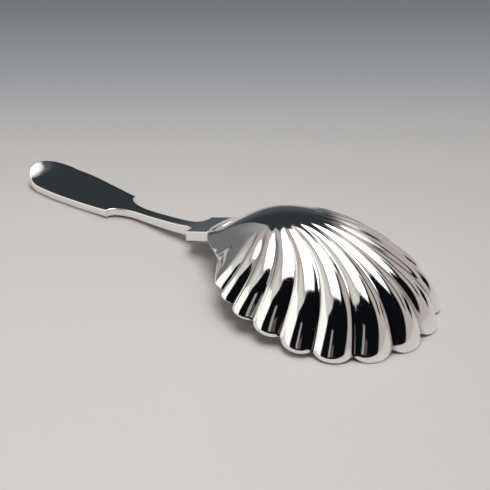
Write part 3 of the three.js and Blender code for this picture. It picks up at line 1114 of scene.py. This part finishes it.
def handle_chain():
    """The curves of half the outline, each with its number of steps."""
    shoulder_y = fiddle_side(SHOULDER_X - CORNER) - CORNER
    sweep_y = SHOULDER_HALF - SHOULDER_SQUARE
    block_y = BLOCK_HALF - BLOCK_SQUARE
    end_x = -SOLDER_GAP
    nose = rounded_end(0)
    stem_start = (SHOULDER_X + SHOULDER_SWEEP, STEM_HALF)
    stem_end = (BLOCK_BACK - BLOCK_SWEEP, STEM_HALF)
    to_stem = sweep(SHOULDER_X, SHOULDER_SWEEP, sweep_y - STEM_HALF)
    from_stem = backwards(sweep(BLOCK_BACK, -BLOCK_SWEEP, block_y - STEM_HALF))
    body = [
        (straight((nose[0], 0), nose), 4),
        (rounded_end, 56),
        (side_of_fiddle, 60),
        (corner(SHOULDER_X - CORNER, shoulder_y, 90, 0), 6),
        (straight((SHOULDER_X, shoulder_y), (SHOULDER_X, sweep_y)), 1),
        (to_stem, 36),
        (straight(stem_start, stem_end), 36),
        (from_stem, 20),
        (straight((BLOCK_BACK, block_y), (BLOCK_BACK, BLOCK_HALF - CORNER)), 3),
        (corner(BLOCK_BACK + CORNER, BLOCK_HALF - CORNER, 180, 90), 6),
        (straight((BLOCK_BACK + CORNER, BLOCK_HALF), (end_x - CORNER, BLOCK_HALF)), 12),
        (corner(end_x - CORNER, BLOCK_HALF - CORNER, 90, 0), 6),
        (straight((end_x, BLOCK_HALF - CORNER), (end_x, LIP_HALF)), 1),
    ]
    lip = [
        (straight((end_x, LIP_HALF), (LIP_LENGTH - CORNER, LIP_HALF)), 5),
        (corner(LIP_LENGTH - CORNER, LIP_HALF - CORNER, 90, 0), 6),
        (straight((LIP_LENGTH, LIP_HALF - CORNER), (LIP_LENGTH, 0)), 6),
    ]
    on_body = [(curve, count, False) for curve, count in body]
    return on_body + [(curve, count, True) for curve, count in lip]


def walk_outline():
    """Rows of (x, y, outwards x, outwards y, is on the lip)."""
    rows = []
    for curve, count, on_lip in handle_chain():
        for step in range(count + 1):
            share = step / count
            x, y = curve(share)
            x0, y0 = curve(max(share - LITTLE, 0))
            x1, y1 = curve(min(share + LITTLE, 1))
            length = hypot(x1 - x0, y1 - y0)
            rows.append((x, y, -(y1 - y0) / length, (x1 - x0) / length, on_lip))
    return rows


outline = walk_outline()
print("outline of", len(outline), "rows")

# %% [markdown]
# ## The section of the handle
# A section runs from the middle of the underside, round both eased edges, to the middle of the
# top. A forged and filed edge is never sharp, so a quarter circle leads from each flat to the
# side. The edge is measured square to the outline, which keeps it even round every corner. A row
# beside each quarter circle holds the flats flat, because smooth shading would otherwise make
# them look swollen.

# %% Forge the handle
EDGE = 0.22
EDGE_STEPS = 6
QUARTER = [90 * step / EDGE_STEPS for step in range(EDGE_STEPS + 1)]
ACROSS_TOP = [0.03, 0.08] + [0.08 + 0.92 * step / 12 for step in range(1, 13)]
ACROSS_BOTTOM = [1, 0.75, 0.5, 0.25, 0.03]
UP_THE_SIDE = [0.1, 0.5, 0.9]
SECTION = (
    [("bottom", 90, middle) for middle in ACROSS_BOTTOM]
    + [("bottom", turn, 0) for turn in reversed(QUARTER)]
    + [("side", share, 0) for share in UP_THE_SIDE]
    + [("top", turn, 0) for turn in QUARTER]
    + [("top", 90, middle) for middle in ACROSS_TOP]
)


def handle_point(row, place):
    x, y, out_x, out_y, on_lip = row
    kind, amount, middle = place
    turn = radians(amount) if kind != "side" else 0
    inset = EDGE * (1 - cos(turn))
    x -= out_x * inset
    y = max((y - out_y * inset) * (1 - middle), 0)
    crown = TERMINAL_CROWN * curl_rise(x) / TERMINAL_RISE * (y / FIDDLE_HALF) ** 2
    top = LIP_TOP if on_lip else top_height(x) - crown
    bottom = top_height(x) - thickness(x)
    eased = EDGE * (1 - sin(turn))
    if kind == "side":
        return Vector((x, y, blend(bottom + EDGE, top - EDGE, amount)))
    return Vector((x, y, top - eased if kind == "top" else bottom + eased))


def forge_handle():
    handle = add_grid(
        "forged_fiddle_handle",
        len(SECTION),
        len(outline),
        lambda column, row: handle_point(outline[row], SECTION[column]),
    )
    apply_modifier(handle, "MIRROR", use_axis=(False, True, False), merge_threshold=0.0005 * MM)
    merge_and_face_out(handle)
    return handle


handle = forge_handle()
hand_over(handle, HANDLE_SILVER, "fiddle_handle")

# %% [markdown]
# ## The solder
# Hard solder flows into the corner between block and heel and feathers out on both. We find that
# corner by halving, as one would search for it with a finger, then lay a hollow fillet over it,
# row by row across the block. The row's lower half runs back just inside the metal, so the fillet
# is closed.

# %% Run the solder
SOLDER_LEG = 1.5
SOLDER_CLIMB = 1.9
SOLDER_FEATHER = 0.03
SOLDER_FILLING = 0.16
SOLDER_BED = 0.08
SOLDER_INSET = 0.3
SOLDER_END_FULLNESS = 0.35
SOLDER_ROWS = 40
SOLDER_COLUMNS = 14
HALVINGS = 40


def passes_zero(rising, low=0.0, high=UMBO):
    for _ in range(HALVINGS):
        middle = (low + high) / 2
        if rising(middle) < 0:
            low = middle
        else:
            high = middle
    return low


def solder_row(y, fullness, lift):
    """One row as points on its face from the block up the heel, and then back under it."""
    corner_x = passes_zero(lambda x: dome_height(x, y) - block_top(x))
    corner_z = block_top(corner_x)
    top_z = corner_z + SOLDER_CLIMB * fullness
    top_x = passes_zero(lambda x: dome_height(x, y) - top_z)
    leg = SOLDER_LEG * fullness
    reach = top_x - corner_x
    turn = (top_z - corner_z) / reach - BLOCK_SLOPE
    thickest = turn / (2 * (1 / leg + 1 / reach)) + SOLDER_FILLING * fullness
    shares = [step / SOLDER_COLUMNS for step in range(SOLDER_COLUMNS + 1)]
    seats = [(corner_x - leg * share, share) for share in reversed(shares)]
    seats += [(corner_x + reach * share, share) for share in shares[1:]]
    face = []
    bed = []
    for x, share in seats:
        seat = max(block_top(x), dome_height(x, y)) if x > 0 else block_top(x)
        height = SOLDER_FEATHER + thickest * (1 - share) ** 2
        face.append(Vector((x, y, seat + blend(-SOLDER_BED, height, lift))))
        bed.append(Vector((x, y, seat - SOLDER_BED)))
    return face + bed[::-1] + face[:1]


def run_solder():
    half_run = NECK_WIDTH / 2 - SOLDER_INSET
    rows = []
    for step in range(SOLDER_ROWS + 1):
        turn = blend(-pi / 2, pi / 2, step / SOLDER_ROWS)
        fullness = blend(SOLDER_END_FULLNESS, 1, cos(turn))
        rows.append(solder_row(half_run * sin(turn), fullness, 1))
    first = solder_row(-half_run, SOLDER_END_FULLNESS, 0)
    last = solder_row(half_run, SOLDER_END_FULLNESS, 0)
    rows = [first, *rows, last]
    solder = add_grid(
        "solder_fillet", len(rows[0]), len(rows), lambda column, row: rows[row][column]
    )
    merge_and_face_out(solder, 0.001)
    return solder


solder = run_solder()
hand_over(solder, SOLDER_SILVER, "solder_seam")

# %% [markdown]
# ## The size
# Looks must not change dimensions. The box of the construction model and the box of what we made
# are printed side by side.

# %% Print the sizes and finish
visual_box = [list(point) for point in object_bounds()]
for label, box in (("model", cad_box), ("visual", visual_box)):
    print(label, "box in mm:", [[round(value / MM, 2) for value in point] for point in box])
